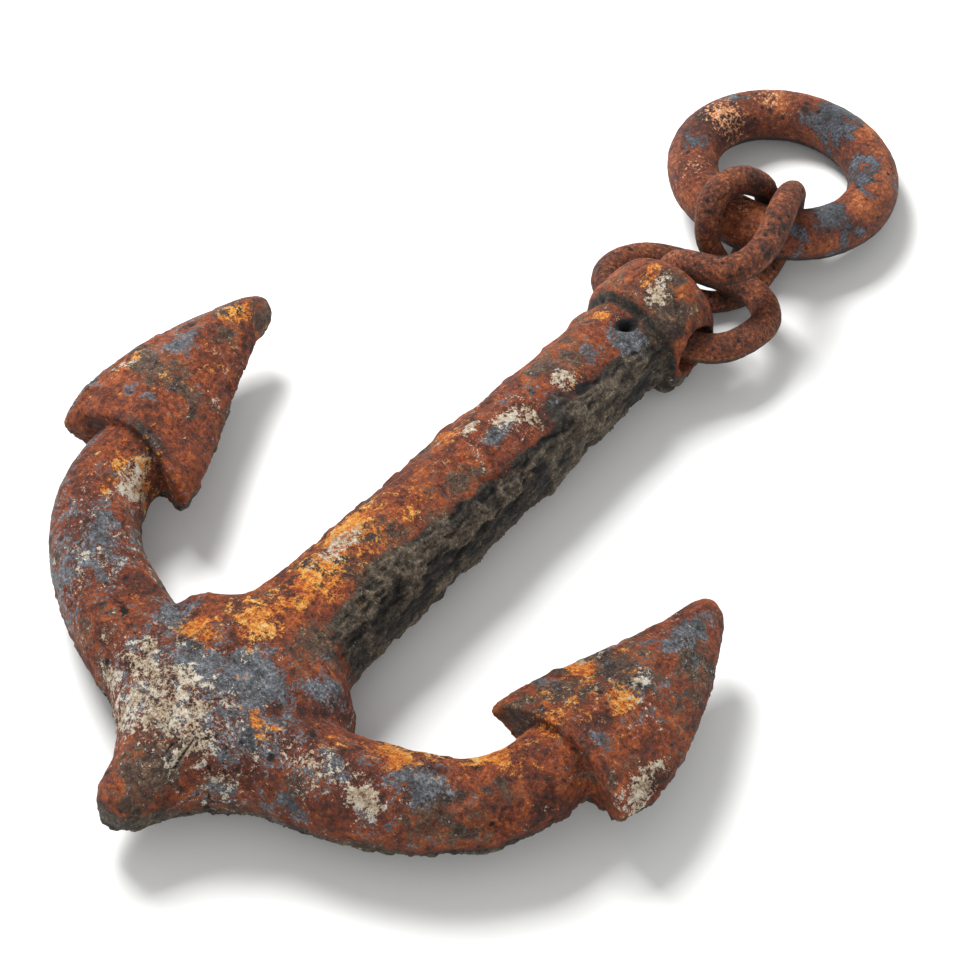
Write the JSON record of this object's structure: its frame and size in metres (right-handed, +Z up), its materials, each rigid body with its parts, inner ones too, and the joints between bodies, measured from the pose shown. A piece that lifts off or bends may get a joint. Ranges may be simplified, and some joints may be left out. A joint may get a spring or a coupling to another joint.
{
  "type": "rusty anchor with chain",
  "caption": "Weathered cast iron anchor lying flat, with curved arms, arrowhead flukes, an eyed head, a shackle ring, links and a heavy mooring ring.",
  "frame": {"origin": "on the resting surface, at the middle of the narrow flat under the crown", "axes": "+Y along the shank towards the head and the chain, +X across to the fluke on the right, +Z up from the surface that the anchor lies on"},
  "size_m": [0.3774, 0.6003, 0.0628],
  "materials": {
    "scaled_cast_iron": "layered rust, flaking grey scale and traces of cream and orange paint",
    "rusted_chain": "even fine-grained red-brown rust",
    "mottled_ring": "red-brown rust with dark blue-grey patches and pale specks"
  },
  "bodies": {
    "anchor": {"anchor_casting": "scaled_cast_iron"},
    "shackle": {"shackle_ring": "rusted_chain"},
    "main_link": {"right_link": "rusted_chain"},
    "mooring": {"mooring_ring": "mottled_ring"},
    "spare_link": {"left_link": "rusted_chain"}
  },
  "joints": [
    {"name": "shackle_swing", "type": "hinge", "parent": "anchor", "child": "shackle", "pos_m": [0, 0.3165, 0.0305], "axis": [1, 0, 0], "range_deg": [0, 2]},
    {"name": "main_link_swing", "type": "hinge", "parent": "shackle", "child": "main_link", "pos_m": [0, 0.3695, 0.0213], "axis": [0.9901, 0.14, 0], "range_deg": [0, 1]},
    {"name": "mooring_swing", "type": "hinge", "parent": "main_link", "child": "mooring", "pos_m": [-0.004, 0.4055, 0.0274], "axis": [0.9817, 0.1903, 0], "range_deg": [0, 7]},
    {"name": "spare_link_swing", "type": "hinge", "parent": "mooring", "child": "spare_link", "pos_m": [-0.013, 0.402, 0.0274], "axis": [0.9992, 0.04, 0], "range_deg": [-2.5, 6]}
  ]
}
